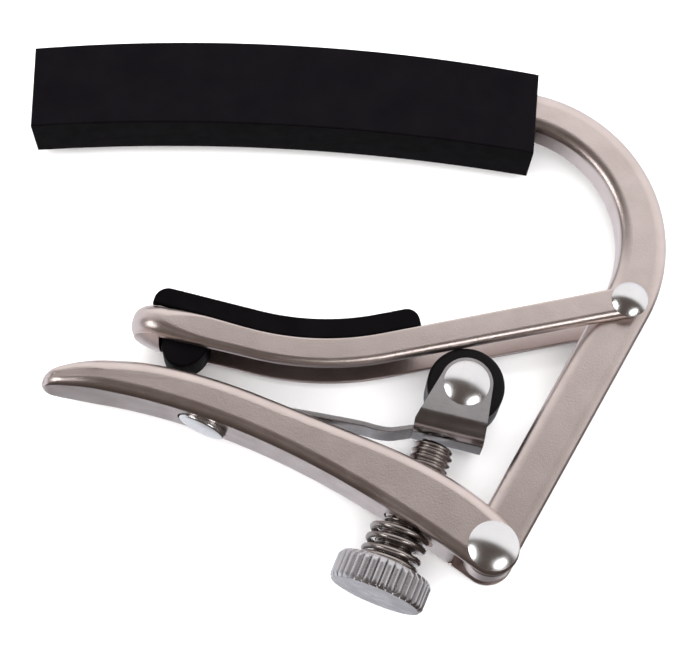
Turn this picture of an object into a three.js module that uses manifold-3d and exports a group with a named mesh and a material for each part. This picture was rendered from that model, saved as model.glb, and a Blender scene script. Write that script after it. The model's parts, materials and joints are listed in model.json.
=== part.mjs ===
// Guitar capo with a flip lever: a rubber-sleeved bar presses the strings, a hinged arm cups the
// back of the neck, and a lever with a roller wedges the arm shut past its dead centre.
//
// Millimetres. The capo lies on its side: the mechanism moves in the XY plane and every pivot
// runs along Z. +X points along the sleeve towards the bend, +Y from the lever to the sleeve.
// Each piece is drawn about the lever pivot (x = 0, y = 0, mid-plane z = 0); the last lines move
// the whole group so that the origin is under the middle of its box, at its lowest point.

import * as THREE from 'three';
import { mergeVertices } from 'three/addons/utils/BufferGeometryUtils.js';
import Module from 'manifold-3d';

const wasm = await Module();
wasm.setup();

// ---- driving dimensions ----------------------------------------------------------------------

const ORIGIN = new THREE.Vector3(-18.0, 26.28, -5.65);   // box centre in X and Y, lowest point in Z

const BAR_DEPTH = 5.2;            // along Z
const BAR_ROUND = 1.0;            // radius of the bar's long edges
const BAR_HEADING = 62.8;         // direction of the bar's straight stretch, degrees from +X
const BAR_STRAIGHT = 33.6;        // lever pivot to the start of the bend
const BEND_RADIUS = 16.5;
const BEND_TURN = 109.9;
const CROWN_RADIUS = 237;         // gentle curve of the bar inside the sleeve
const CROWN_TURN = 13.2;
const BAR_END_RADIUS = 2.8;
const BAR_WIDTH_PIVOTS = 5.8;     // in-plane thickness beside the arm pivot
const BAR_WIDTH_SLEEVE = 4.6;     // in-plane thickness inside the sleeve

const SLEEVE_DEPTH = 7.4;
const SLEEVE_LEFT = { bottom: [-55.5, 47.45], top: [-55.9, 57.55] };
const SLEEVE_RIGHT = { bottom: [3.9, 47.45], top: [4.4, 57.65] };
const SLEEVE_BOTTOM_RADIUS = 240;
const SLEEVE_TOP_RADIUS = 210;
const SLEEVE_FIT = 0.15;

const ARM_PIVOT = [15.15, 29.5];
const ARM_HEADING = 194.3;        // from the pivot towards the nose
const ARM_STRAIGHT = 28.7;
const ARM_BEND_RADIUS = 34;
const ARM_BEND_TURN = -26.3;      // clockwise, so the arm cups the neck
const ARM_TAIL = 9.9;             // straight from the bend to the centre of the nose
const ARM_DEPTH = 8.6;            // over both rails, along Z
const RAIL_THICKNESS = 1.4;
const RAIL_HEIGHT_PIVOT = 3.4;
const RAIL_HEIGHT_NOSE = 3.0;
const ARM_EYE_RADIUS = 1.75;

const PAD_THICKNESS = 2.5;
const PAD_DEPTH = 7.2;
const PAD_START = 24.1;           // distances along the arm from its pivot
const PAD_END = 56.4;
const PAD_CORNER = 1.8;
const PAD_GAP = 0.12;
const PLUG_DEPTH = 5.0;

const LEVER_DEPTH = 8.6;
const LEVER_ROUND = 0.5;
const LEVER_EYE = 3.05;
const CHANNEL_DEPTH = 5.8;        // inside width of the lever's channel and fork, along Z
const WEB_THICKNESS = 1.6;

const STRAP_RIVET = [-33.1, 13.15];      // where its axis meets the lever's underside
const STRAP_RIVET_TILT = -22;
const STRAP_THICKNESS = 0.6;
const STRAP_WIDTH = 4.3;
const STIRRUP_WIDTH = 7.9;
const STIRRUP_BEND = 2.4;         // outer radius of the bends at the foot of the ears
const STIRRUP_TILT = -11;
const ROLLER_CENTRE = [-3.35, 18.6];
const EAR_RADIUS = 3.0;

const ROLLER_RADIUS = 4.45;
const ROLLER_WIDTH = 6.5;
const RUNNING_GAP = 0.08;         // radial clearance of each turning fit

const LEVER_PIN = { radius: 1.6, head: 2.82, dome: 0.95, grip: 8.7 };
const ARM_PIN = { radius: 1.3, head: 2.1, dome: 0.8, grip: 8.7 };
const ROLLER_PIN = { radius: 1.2, head: 2.62, dome: 0.85, grip: 8.0 };

const SCREW_FOOT = [-12.68, -5.4];       // middle of the knob's outer face
const SCREW_HEADING = 70.29;
const SCREW_RADIUS = 2.4;
const SCREW_START = 1.0;                 // distances along the screw from the knob's outer face
const SCREW_TIP = 18.65;
const KNOB_RADIUS = 5.55;
const KNOB_HEIGHT = 3.4;
const KNOB_FLUTES = 30;
const KNOB_FLUTE_DEPTH = 0.35;
const KNOB_CHAMFER = 0.35;
const SPRING_RADIUS = 3.15;              // to the middle of the wire
const SPRING_WIRE = 0.35;
const SPRING_TURNS = 3.3;
const SPRING_SEAT = 8.35;                // spot face on the lever, measured along the screw

// ---- materials -------------------------------------------------------------------------------

const nickel = () => new THREE.MeshStandardMaterial({ color: 0xa79c95, roughness: 0.42, metalness: 1 });
const polished = () => new THREE.MeshStandardMaterial({ color: 0xd9d9dc, roughness: 0.1, metalness: 1 });
const steel = () => new THREE.MeshStandardMaterial({ color: 0x8d8d92, roughness: 0.35, metalness: 1 });
const rubber = () => new THREE.MeshStandardMaterial({ color: 0x151416, roughness: 0.7, metalness: 0 });

// ---- small tools -----------------------------------------------------------------------------

const rad = THREE.MathUtils.degToRad;
const group = new THREE.Group();

function add(name, shape, material, parent = group) {
  const geometry = shape.isBufferGeometry ? shape : toGeometry(shape);
  const mesh = new THREE.Mesh(geometry, material);
  mesh.name = name;
  parent.add(mesh);
  return mesh;
}

function toSolid(geometry) {
  const bare = geometry.clone();
  for (const name of Object.keys(bare.attributes)) {
    if (name !== 'position') bare.deleteAttribute(name);
  }
  const merged = mergeVertices(bare, 1e-4);
  return new wasm.Manifold(new wasm.Mesh({
    numProp: 3,
    vertProperties: new Float32Array(merged.attributes.position.array),
    triVerts: new Uint32Array(merged.index.array),
  }));
}

function toGeometry(solid) {
  const mesh = solid.getMesh();
  const geometry = new THREE.BufferGeometry();
  geometry.setAttribute('position', new THREE.BufferAttribute(mesh.vertProperties, 3));
  geometry.setIndex(new THREE.BufferAttribute(mesh.triVerts, 1));
  geometry.computeVertexNormals();
  return geometry;
}

// A path of straights and arcs in the XY plane, sampled every few degrees of turn.
function walk(start, heading, pieces, step = 5) {
  let [x, y] = start;
  let length = 0;
  const path = [{ x, y, heading, length }];
  for (const { run = 0, radius = 0, turn = 0, parts = 1 } of pieces) {
    const count = turn ? Math.ceil(Math.abs(turn) / step) : parts;
    for (let i = 0; i < count; i += 1) {
      const next = heading + turn / count;
      if (turn) {
        const side = Math.sign(turn) * radius;
        x += side * (Math.sin(rad(next)) - Math.sin(rad(heading)));
        y += side * (Math.cos(rad(heading)) - Math.cos(rad(next)));
        length += radius * rad(Math.abs(turn) / count);
      } else {
        x += run / count * Math.cos(rad(heading));
        y += run / count * Math.sin(rad(heading));
        length += run / count;
      }
      heading = next;
      path.push({ x, y, heading, length });
    }
  }
  return path;
}

// The point a given distance to the left of a path sample (negative: to the right).
function beside({ x, y, heading }, left) {
  return new THREE.Vector2(x - left * Math.sin(rad(heading)), y + left * Math.cos(rad(heading)));
}

// An outline that follows a path, with the two sides at the given distances from it.
function band(path, left, right) {
  const ahead = path.map((sample) => beside(sample, -right(sample.length)));
  const back = path.map((sample) => beside(sample, left(sample.length))).reverse();
  return new THREE.Shape([...ahead, ...back]);
}

// A flat piece of the given outline, centred on the mid-plane, with rounded long edges.
function plate(shape, depth, round = 0, roundSteps = 2, curveSegments = 12) {
  const geometry = new THREE.ExtrudeGeometry(shape, {
    depth: depth - 2 * round,
    curveSegments,
    bevelEnabled: round > 0,
    bevelThickness: round,
    bevelSize: round,
    bevelOffset: -round,
    bevelSegments: roundSteps,
  });
  geometry.translate(0, 0, round - depth / 2);
  return geometry;
}

function polygon(points) {
  return new THREE.Shape(points.map(([x, y]) => new THREE.Vector2(x, y)));
}

// A turned piece: pairs of radius and height, revolved about the Y axis.
function turned(profile, segments = 28) {
  return new THREE.LatheGeometry(profile.map(([r, h]) => new THREE.Vector2(r, h)), segments);
}

function rod(radius, from, to, segments = 28) {
  return turned([[0, from], [radius, from], [radius, to], [0, to]], segments);
}

// The same, with its axis along Z and standing at a point of the mechanism plane.
function pinAlongZ(geometry, [x, y]) {
  return geometry.rotateX(Math.PI / 2).translate(x, y, 0);
}

// The same, with its axis in the mechanism plane: a foot point and the axis's own heading.
function placeInPlane(geometry, [x, y], heading) {
  return geometry.rotateZ(rad(heading - 90)).translate(x, y, 0);
}

// Domed heads on both ends of a plain shank, symmetric about the mid-plane.
function rivet({ radius, head, dome, grip }) {
  const half = grip / 2;
  const ball = (head * head + dome * dome) / (2 * dome);
  const reach = Math.asin(head / ball);
  const cap = [];
  for (let i = 0; i <= 4; i += 1) {
    const angle = reach * i / 4;
    cap.push([ball * Math.sin(angle), half + dome - ball * (1 - Math.cos(angle))]);
  }
  const lower = cap.map(([r, h]) => [r, -h]);
  const upper = [...cap].reverse();
  return turned([...lower, [radius, -half], [radius, half], ...upper]);
}

// A section carried along a list of frames, each with an origin and two directions.
function sweep(frames, section) {
  const count = section.length;
  const positions = [];
  const index = [];
  for (const { origin, out, up, scale = 1 } of frames) {
    for (const [a, b] of section) {
      const point = origin.clone().addScaledVector(out, a).addScaledVector(up, b * scale);
      positions.push(point.x, point.y, point.z);
    }
  }
  for (let i = 0; i + 1 < frames.length; i += 1) {
    for (let j = 0; j < count; j += 1) {
      const a = i * count + j;
      const b = i * count + (j + 1) % count;
      index.push(a, b, b + count, a, b + count, a + count);
    }
  }
  const last = (frames.length - 1) * count;
  for (let j = 1; j + 1 < count; j += 1) {
    index.push(0, j + 1, j);
    index.push(last, last + j, last + j + 1);
  }
  const [first, second] = frames;
  const ahead = second.origin.clone().sub(first.origin);
  if (first.out.clone().cross(first.up).dot(ahead) < 0) index.reverse();
  const geometry = new THREE.BufferGeometry();
  geometry.setAttribute('position', new THREE.Float32BufferAttribute(positions, 3));
  geometry.setIndex(index);
  geometry.computeVertexNormals();
  return geometry;
}

// ---- the bar and its sleeve ------------------------------------------------------------------

const barPath = walk([0, 0], BAR_HEADING, [
  { run: BAR_STRAIGHT, parts: 4 },
  { radius: BEND_RADIUS, turn: BEND_TURN },
  { radius: CROWN_RADIUS, turn: CROWN_TURN },
], 6);

// Full thickness along the straight, thinning through the bend to the sleeve.
function barHalfWidth(length) {
  const bendEnd = BAR_STRAIGHT + BEND_RADIUS * rad(BEND_TURN);
  const widest = BAR_WIDTH_PIVOTS / 2;
  const thinnest = BAR_WIDTH_SLEEVE / 2;
  if (length < BAR_STRAIGHT) {
    return THREE.MathUtils.lerp(BAR_END_RADIUS, widest, length / BAR_STRAIGHT);
  }
  const share = Math.min(1, (length - BAR_STRAIGHT) / (bendEnd - BAR_STRAIGHT));
  return THREE.MathUtils.lerp(widest, thinnest, share);
}

function barOutline(extra = 0) {
  const ahead = barPath.map((sample) => beside(sample, -barHalfWidth(sample.length) - extra));
  const back = barPath.map((sample) => beside(sample, barHalfWidth(sample.length) + extra)).reverse();
  const end = [];
  for (let turn = 105; turn < 270; turn += 15) {
    const angle = rad(BAR_HEADING + turn);
    const radius = BAR_END_RADIUS + extra;
    end.push(new THREE.Vector2(radius * Math.cos(angle), radius * Math.sin(angle)));
  }
  return new THREE.Shape([...ahead, ...back, ...end]);
}

function boreAlongZ(radius, point) {
  return toSolid(pinAlongZ(rod(radius, -10, 10), point));
}

const bar = toSolid(plate(barOutline(), BAR_DEPTH, BAR_ROUND, 3))
  .subtract(boreAlongZ(LEVER_PIN.radius + 0.05, [0, 0]))
  .subtract(boreAlongZ(ARM_PIN.radius + 0.05, ARM_PIVOT));
add('main_bar', bar, nickel());

// Points of a shallow arc from one point to another, bulging towards +Y.
function shallowArc([x0, y0], [x1, y1], radius, count = 12) {
  const points = [];
  const half = Math.asin(Math.hypot(x1 - x0, y1 - y0) / 2 / radius);
  for (let i = 0; i <= count; i += 1) {
    const along = half * (2 * i / count - 1);
    const share = (Math.sin(along) / Math.sin(half) + 1) / 2;
    const lift = radius * (Math.cos(along) - Math.cos(half));
    points.push([x0 + (x1 - x0) * share, y0 + (y1 - y0) * share + lift]);
  }
  return points;
}

const sleeveOutline = polygon([
  ...shallowArc(SLEEVE_LEFT.bottom, SLEEVE_RIGHT.bottom, SLEEVE_BOTTOM_RADIUS),
  ...shallowArc(SLEEVE_LEFT.top, SLEEVE_RIGHT.top, SLEEVE_TOP_RADIUS).reverse(),
]);
const sleeve = toSolid(plate(sleeveOutline, SLEEVE_DEPTH))
  .subtract(toSolid(plate(barOutline(SLEEVE_FIT), BAR_DEPTH + 2 * SLEEVE_FIT, BAR_ROUND, 3)));
add('string_sleeve', sleeve, rubber());

// ---- the arm ---------------------------------------------------------------------------------

const armPath = walk(ARM_PIVOT, ARM_HEADING, [
  { run: ARM_STRAIGHT, parts: 3 },
  { radius: ARM_BEND_RADIUS, turn: ARM_BEND_TURN },
  { run: ARM_TAIL, parts: 2 },
], 4.4);
const armLength = armPath.at(-1).length;
const railHeight = (length) => THREE.MathUtils.lerp(RAIL_HEIGHT_PIVOT, RAIL_HEIGHT_NOSE,
  length / armLength);

// Frames out along the near rail, round the nose and back along the far rail.
function railFrames() {
  const offset = ARM_DEPTH / 2 - RAIL_THICKNESS / 2;
  const frameAt = ({ x, y, heading, length }, angle) => {
    const ahead = new THREE.Vector3(Math.cos(rad(heading)), Math.sin(rad(heading)), 0);
    const out = ahead.clone().multiplyScalar(Math.cos(angle));
    out.z = Math.sin(angle);
    return {
      origin: new THREE.Vector3(x, y, 0).addScaledVector(out, offset),
      out,
      up: new THREE.Vector3(Math.sin(rad(heading)), -Math.cos(rad(heading)), 0),
      scale: railHeight(length),
    };
  };
  const nose = [];
  for (let i = 1; i < 10; i += 1) {
    nose.push(frameAt(armPath.at(-1), Math.PI / 2 - Math.PI * i / 10));
  }
  return [
    ...armPath.map((sample) => frameAt(sample, Math.PI / 2)),
    ...nose,
    ...armPath.map((sample) => frameAt(sample, -Math.PI / 2)).reverse(),
  ];
}

// Flat-topped rail with its lower outer edge well rounded; heights are shares of the full height.
const half = RAIL_THICKNESS / 2;
const railSection = [
  [-half, 0.5], [-half, -0.42], [-half + 0.25, -0.5],
  [half - 0.9, -0.5], [half - 0.35, -0.43], [half, -0.25],
  [half, 0.46], [half - 0.12, 0.5],
];

// The nose is solid as far as the cushion's plug.
function noseCore() {
  const { x, y, heading, length } = armPath.at(-1);
  const ahead = new THREE.Vector2(Math.cos(rad(heading)), Math.sin(rad(heading)));
  const up = new THREE.Vector2(ahead.y, -ahead.x);
  const at = (along, across) => [
    x + ahead.x * along + up.x * across, y + ahead.y * along + up.y * across,
  ];
  const height = railHeight(length);
  const core = toSolid(placeInPlane(rod(ARM_DEPTH / 2 - RAIL_THICKNESS / 2, -height / 2, height / 2),
    [x, y], heading - 90));
  const behind = polygon([at(0.95, -4), at(0.95, 4), at(-6, 4), at(-6, -4)]);
  return core.subtract(toSolid(plate(behind, 12)));
}

const eye = (from, to) => toSolid(pinAlongZ(rod(ARM_EYE_RADIUS, from, to), ARM_PIVOT));
const arm = toSolid(sweep(railFrames(), railSection))
  .add(noseCore())
  .add(eye(ARM_DEPTH / 2 - RAIL_THICKNESS, ARM_DEPTH / 2))
  .add(eye(-ARM_DEPTH / 2, RAIL_THICKNESS - ARM_DEPTH / 2))
  .subtract(boreAlongZ(ARM_PIN.radius + RUNNING_GAP, ARM_PIVOT));
add('neck_arm', arm, nickel());
add('arm_pivot_rivet', pinAlongZ(rivet(ARM_PIN), ARM_PIVOT), polished());

// The cushion lies on the rails' upper edges; its plug drops between them near the nose.
const padPath = walk(ARM_PIVOT, ARM_HEADING, [
  { run: PAD_START, parts: 1 },
  ...[0.3, 0.5, 1.0].map((run) => ({ run })),
  { run: ARM_STRAIGHT - PAD_START - PAD_CORNER, parts: 1 },
  { radius: ARM_BEND_RADIUS, turn: ARM_BEND_TURN },
  { run: PAD_END - PAD_CORNER - ARM_STRAIGHT - ARM_BEND_RADIUS * rad(-ARM_BEND_TURN) },
  ...[1.0, 0.5, 0.3].map((run) => ({ run })),
], 4.4).slice(1);
const padFloor = (length) => railHeight(length) / 2 + PAD_GAP;

function padTop(length) {
  const fromEnd = Math.min(length - PAD_START, PAD_END - length) / PAD_CORNER;
  const rounding = 1 - Math.max(0, 1 - fromEnd) ** 2.2;
  return padFloor(length) + PAD_THICKNESS * (0.35 + 0.65 * Math.sqrt(Math.max(0, rounding)));
}

const padBody = toSolid(plate(band(padPath, (length) => -padFloor(length), padTop), PAD_DEPTH));
const plug = toSolid(plate(polygon([
  [-38.25, 21.5], [-37.7, 20.15], [-36.9, 19.5], [-35.6, 19.3], [-34.5, 19.75], [-33.4, 20.75],
  [-32.8, 22.2], [-32.9, 26.2], [-38.15, 27.3],
]), PLUG_DEPTH));
add('arm_cushion', padBody.add(plug), rubber());

// ---- the lever -------------------------------------------------------------------------------

function leverOutline() {
  const shape = new THREE.Shape();
  shape.absarc(0, 0, LEVER_EYE, rad(-123), rad(40), false);
  shape.bezierCurveTo(-1.0, 5.94, -6.42, 8.86, -13.0, 11.25);
  shape.lineTo(-27.0, 16.2);
  shape.bezierCurveTo(-31.73, 17.83, -37.5, 19.3, -42.6, 19.3);
  shape.bezierCurveTo(-46.2, 19.3, -51.3, 18.3, -51.4, 16.6);
  shape.bezierCurveTo(-51.42, 16.0, -51.1, 15.75, -50.3, 15.75);
  shape.bezierCurveTo(-30.4, 14.9, -14.3, 5.66, LEVER_EYE * Math.cos(rad(-123)),
    LEVER_EYE * Math.sin(rad(-123)));
  return shape;
}

// Seen square to the sleeve, the thumb end narrows to a half ellipse.
function leverPlan() {
  const shape = new THREE.Shape();
  shape.moveTo(6, -6);
  shape.lineTo(6, 6);
  shape.lineTo(-46.6, 6);
  shape.lineTo(-46.6, LEVER_DEPTH / 2 + 0.05);
  shape.absellipse(-46.6, 0, 4.85, LEVER_DEPTH / 2 + 0.05, rad(90), rad(270), false);
  shape.lineTo(-46.6, -6);
  const prism = new THREE.ExtrudeGeometry(shape, { depth: 40, bevelEnabled: false, curveSegments: 14 });
  return prism.rotateX(Math.PI / 2).translate(0, 30, 0);
}

// The channel holds the strap, and its left end is square to the strap rivet.
const channel = polygon([
  [-35.25, 15.75], [-30.0, 13.45], [-25.0, 12.15], [-19.5, 9.75], [-16.4, 8.3], [-13.6, 9.6],
  [-13.2, 13.0], [-33.6, 20.6],
]);
const fork = polygon([[-5.3, -6], [-4.9, -0.5], [-3.9, 2.5], [-3.1, 9.5], [6, 9.5], [6, -6]]);

function alongScrew(radius, from, to) {
  return toSolid(placeInPlane(rod(radius, from, to), SCREW_FOOT, SCREW_HEADING));
}

const rivetAxis = 90 + STRAP_RIVET_TILT;
const alongStrapRivet = (geometry) => placeInPlane(geometry, STRAP_RIVET, rivetAxis);
const lever = toSolid(plate(leverOutline(), LEVER_DEPTH, LEVER_ROUND, 2, 14))
  .intersect(toSolid(leverPlan()))
  .subtract(toSolid(plate(channel, CHANNEL_DEPTH)))
  .subtract(toSolid(plate(fork, CHANNEL_DEPTH)))
  .subtract(boreAlongZ(LEVER_PIN.radius + RUNNING_GAP, [0, 0]))
  .subtract(alongScrew(SCREW_RADIUS + 0.1, -2, 22))
  .subtract(alongScrew(SPRING_RADIUS + SPRING_WIRE + 0.4, 2, SPRING_SEAT))
  .subtract(toSolid(alongStrapRivet(rod(3.05, -3, 0.35))))
  .subtract(toSolid(alongStrapRivet(rod(1.3, -3, 3))));
add('lever', lever, nickel());
add('lever_pivot_rivet', pinAlongZ(rivet(LEVER_PIN), [0, 0]), polished());

const strapRivet = turned([
  [0, -0.4], [2.6, -0.4], [2.85, -0.2], [2.85, 0.25], [1.2, 0.25],
  [1.2, 2.5], [1.9, 2.5], [1.7, 3.1], [0, 3.25],
]);
add('strap_rivet', alongStrapRivet(strapRivet), polished());

// ---- the spring strap with the roller's stirrup ----------------------------------------------

const strapPath = [
  [-34.55, 15.85], [-32.3, 14.94], [-29.9, 13.97], [-28.6, 13.85], [-27.0, 14.5], [-25.2, 15.05],
  [-22.0, 14.75], [-15.5, 13.85], [-13.2, 13.35], [-11.6, 13.22], [-10.2, 13.45], [-8.6, 13.62],
  [-5.0, 12.95],
];

// A strip of constant thickness along a list of points, mitred at each bend.
function strip(points, thickness) {
  const at = points.map(([x, y]) => new THREE.Vector2(x, y));
  const sides = at.map((point, i) => {
    const before = point.clone().sub(at[Math.max(0, i - 1)]);
    const after = at[Math.min(at.length - 1, i + 1)].clone().sub(point);
    const along = before.normalize().add(after.normalize()).normalize();
    return new THREE.Vector2(-along.y, along.x).multiplyScalar(thickness / 2);
  });
  const lower = at.map((point, i) => point.clone().sub(sides[i]));
  const upper = at.map((point, i) => point.clone().add(sides[i])).reverse();
  return new THREE.Shape([...lower, ...upper]);
}

// A folded U: two ears joined by a web, with wide bends at their feet.
function stirrupChannel() {
  const w = STIRRUP_WIDTH / 2;
  const t = STRAP_THICKNESS;
  const shape = new THREE.Shape();
  shape.moveTo(-w, 14);
  shape.lineTo(-w, STIRRUP_BEND);
  shape.absarc(-w + STIRRUP_BEND, STIRRUP_BEND, STIRRUP_BEND, Math.PI, 1.5 * Math.PI, false);
  shape.absarc(w - STIRRUP_BEND, STIRRUP_BEND, STIRRUP_BEND, 1.5 * Math.PI, 2 * Math.PI, false);
  shape.lineTo(w, 14);
  shape.lineTo(w - t, 14);
  shape.absarc(w - STIRRUP_BEND, STIRRUP_BEND, STIRRUP_BEND - t, 2 * Math.PI, 1.5 * Math.PI, true);
  shape.absarc(-w + STIRRUP_BEND, STIRRUP_BEND, STIRRUP_BEND - t, 1.5 * Math.PI, Math.PI, true);
  shape.lineTo(-w + t, 14);
  const geometry = new THREE.ExtrudeGeometry(shape, { depth: 14, bevelEnabled: false, curveSegments: 6 });
  return geometry.rotateY(Math.PI / 2).rotateZ(rad(STIRRUP_TILT)).translate(-12.2, 13.85, 0);
}

function earOutline() {
  const [x, y] = ROLLER_CENTRE;
  const shape = new THREE.Shape();
  shape.moveTo(-9.35, 12.0);
  shape.lineTo(-1.35, 10.4);
  shape.lineTo(-0.95, 13.6);
  shape.absarc(x, y, EAR_RADIUS, rad(-8), rad(158), false);
  shape.lineTo(-9.05, 14.4);
  return shape;
}

const stirrup = toSolid(stirrupChannel()).intersect(toSolid(plate(earOutline(), 12)));
const strap = toSolid(plate(strip(strapPath, STRAP_THICKNESS), STRAP_WIDTH))
  .add(stirrup)
  .subtract(boreAlongZ(ROLLER_PIN.radius + 0.05, ROLLER_CENTRE))
  .subtract(toSolid(alongStrapRivet(rod(1.25, -3, 5))));
add('roller_strap', strap, steel());
add('roller_axle', pinAlongZ(rivet(ROLLER_PIN), ROLLER_CENTRE), polished());

const rollerBore = ROLLER_PIN.radius + RUNNING_GAP;
const rollerEdge = 0.5;
add('roller', pinAlongZ(turned([
  [rollerBore, -ROLLER_WIDTH / 2],
  [ROLLER_RADIUS - rollerEdge, -ROLLER_WIDTH / 2],
  [ROLLER_RADIUS, -ROLLER_WIDTH / 2 + rollerEdge],
  [ROLLER_RADIUS, ROLLER_WIDTH / 2 - rollerEdge],
  [ROLLER_RADIUS - rollerEdge, ROLLER_WIDTH / 2],
  [rollerBore, ROLLER_WIDTH / 2],
  [rollerBore, -ROLLER_WIDTH / 2],
], 40), ROLLER_CENTRE), rubber());

// ---- the adjusting screw, its knob and its spring --------------------------------------------

const screwAxis = new THREE.Group();
screwAxis.position.set(...SCREW_FOOT, 0);
screwAxis.rotation.z = rad(SCREW_HEADING - 90);
group.add(screwAxis);

add('adjusting_screw', turned([
  [0, SCREW_START], [SCREW_RADIUS, SCREW_START], [SCREW_RADIUS, SCREW_TIP - 0.6],
  [SCREW_RADIUS - 0.6, SCREW_TIP], [0, SCREW_TIP],
]), steel(), screwAxis);

function knobOutline() {
  const points = [];
  const steps = KNOB_FLUTES * 3;
  for (let i = 0; i < steps; i += 1) {
    const angle = 2 * Math.PI * i / steps;
    const radius = i % 3 === 0 ? KNOB_RADIUS - KNOB_FLUTE_DEPTH : KNOB_RADIUS;
    points.push([radius * Math.cos(angle), radius * Math.sin(angle)]);
  }
  return polygon(points);
}

const chamfered = turned([
  [0, 0], [KNOB_RADIUS - KNOB_CHAMFER, 0], [KNOB_RADIUS, KNOB_CHAMFER],
  [KNOB_RADIUS, KNOB_HEIGHT - KNOB_CHAMFER], [KNOB_RADIUS - KNOB_CHAMFER, KNOB_HEIGHT], [0, KNOB_HEIGHT],
], 60);
const fluted = plate(knobOutline(), 2 * KNOB_HEIGHT).rotateX(Math.PI / 2);
const knob = toSolid(chamfered)
  .intersect(toSolid(fluted))
  .subtract(toSolid(rod(SCREW_RADIUS + 0.05, SCREW_START - 0.05, 6)));
add('thumb_knob', knob, steel(), screwAxis);

// A right-handed coil between the knob and the spot face.
function springFrames() {
  const from = KNOB_HEIGHT + SPRING_WIRE + 0.05;
  const to = SPRING_SEAT - SPRING_WIRE - 0.05;
  const steps = Math.round(SPRING_TURNS * 16);
  const frames = [];
  for (let i = 0; i <= steps; i += 1) {
    const angle = Math.PI - 2 * Math.PI * SPRING_TURNS * i / steps;
    const out = new THREE.Vector3(Math.cos(angle), 0, Math.sin(angle));
    const origin = out.clone().multiplyScalar(SPRING_RADIUS);
    origin.y = from + (to - from) * i / steps;
    frames.push({ origin, out, up: new THREE.Vector3(0, 1, 0) });
  }
  return frames;
}

const wireSection = [];
for (let i = 0; i < 6; i += 1) {
  const angle = Math.PI * i / 3;
  wireSection.push([SPRING_WIRE * Math.cos(angle), SPRING_WIRE * Math.sin(angle)]);
}
add('knob_spring', sweep(springFrames(), wireSection), steel(), screwAxis);

// ---- lay the capo down with its origin under the middle of its box ----------------------------

group.position.copy(ORIGIN).negate();

export default group;
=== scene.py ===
"""Guitar capo with a flip lever: the detailed look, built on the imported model."""
import json
import math

import bmesh
import bpy
from mathutils import Matrix, Vector


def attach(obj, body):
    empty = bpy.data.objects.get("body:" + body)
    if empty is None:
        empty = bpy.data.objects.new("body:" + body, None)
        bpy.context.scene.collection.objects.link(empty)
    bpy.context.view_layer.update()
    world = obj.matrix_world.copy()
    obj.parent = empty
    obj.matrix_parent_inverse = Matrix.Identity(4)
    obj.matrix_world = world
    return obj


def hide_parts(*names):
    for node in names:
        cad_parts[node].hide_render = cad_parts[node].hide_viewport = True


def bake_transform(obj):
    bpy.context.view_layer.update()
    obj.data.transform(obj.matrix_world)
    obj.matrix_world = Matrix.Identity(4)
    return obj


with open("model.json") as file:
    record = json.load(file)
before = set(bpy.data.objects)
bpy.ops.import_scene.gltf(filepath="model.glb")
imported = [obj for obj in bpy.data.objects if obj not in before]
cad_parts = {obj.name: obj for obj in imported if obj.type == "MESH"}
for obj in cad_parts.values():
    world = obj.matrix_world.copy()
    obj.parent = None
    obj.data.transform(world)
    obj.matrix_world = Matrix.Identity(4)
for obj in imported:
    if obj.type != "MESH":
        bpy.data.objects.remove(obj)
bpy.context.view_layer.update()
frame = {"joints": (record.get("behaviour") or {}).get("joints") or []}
joints = {joint["name"]: joint for joint in frame["joints"]}
PIVOT = Vector(joints["lever_hinge"]["pos_m"])   # pieces are drawn about it, in millimetres
MM = 0.001


def flat(joint_name):
    """A joint's place in the mechanism plane, in millimetres from the lever pivot."""
    place = (Vector(joints[joint_name]["pos_m"]) - PIVOT) / MM
    return place.x, place.y


ARM_PIVOT = flat("arm_hinge")
ROLLER = flat("roller_spin")
SCREW_FOOT = flat("screw_turn")
SCREW_DIR = Vector(joints["screw_turn"]["axis"]).normalized()
SCREW_SIDE = Vector((SCREW_DIR.y, -SCREW_DIR.x, 0))


def off_screw(angle):
    """A direction straight out from the screw's axis."""
    return SCREW_SIDE * math.cos(angle) + Vector((0, 0, math.sin(angle)))


# ------------------------------------------------------------------ paths and outlines


def walk(start, heading, pieces, step=2.0):
    """Samples a path of straights and arcs: (x, y, heading in degrees, length so far)."""
    x, y = start
    length = 0.0
    path = [(x, y, heading, length)]
    for run, radius, turn in pieces:
        count = max(1, math.ceil(abs(turn) / step)) if turn else max(1, round(run / 1.5))
        for _ in range(count):
            after = heading + turn / count
            if turn:
                a, b = math.radians(heading), math.radians(after)
                side = math.copysign(radius, turn)
                x += side * (math.sin(b) - math.sin(a))
                y += side * (math.cos(a) - math.cos(b))
                length += radius * abs(b - a)
            else:
                x += run / count * math.cos(math.radians(heading))
                y += run / count * math.sin(math.radians(heading))
                length += run / count
            heading = after
            path.append((x, y, heading, length))
    return path


def beside(sample, left):
    x, y, heading, _ = sample
    a = math.radians(heading)
    return x - left * math.sin(a), y + left * math.cos(a)


def band(path, left, right):
    """Outline along a path, counter-clockwise, with each side at its own distance."""
    ahead = [beside(s, -right(s[3])) for s in path]
    back = [beside(s, left(s[3])) for s in reversed(path)]
    return ahead + back


def arc(centre, radius, start, end, count):
    points = []
    for i in range(count + 1):
        a = math.radians(start + (end - start) * i / count)
        points.append((centre[0] + radius * math.cos(a), centre[1] + radius * math.sin(a)))
    return points


def bezier(p0, p1, p2, p3, count=24):
    points = []
    for i in range(1, count + 1):
        t = i / count
        w = ((1 - t) ** 3, 3 * t * (1 - t) ** 2, 3 * t * t * (1 - t), t ** 3)
        points.append(tuple(sum(k * p[axis] for k, p in zip(w, (p0, p1, p2, p3))) for axis in (0, 1)))
    return points


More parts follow.
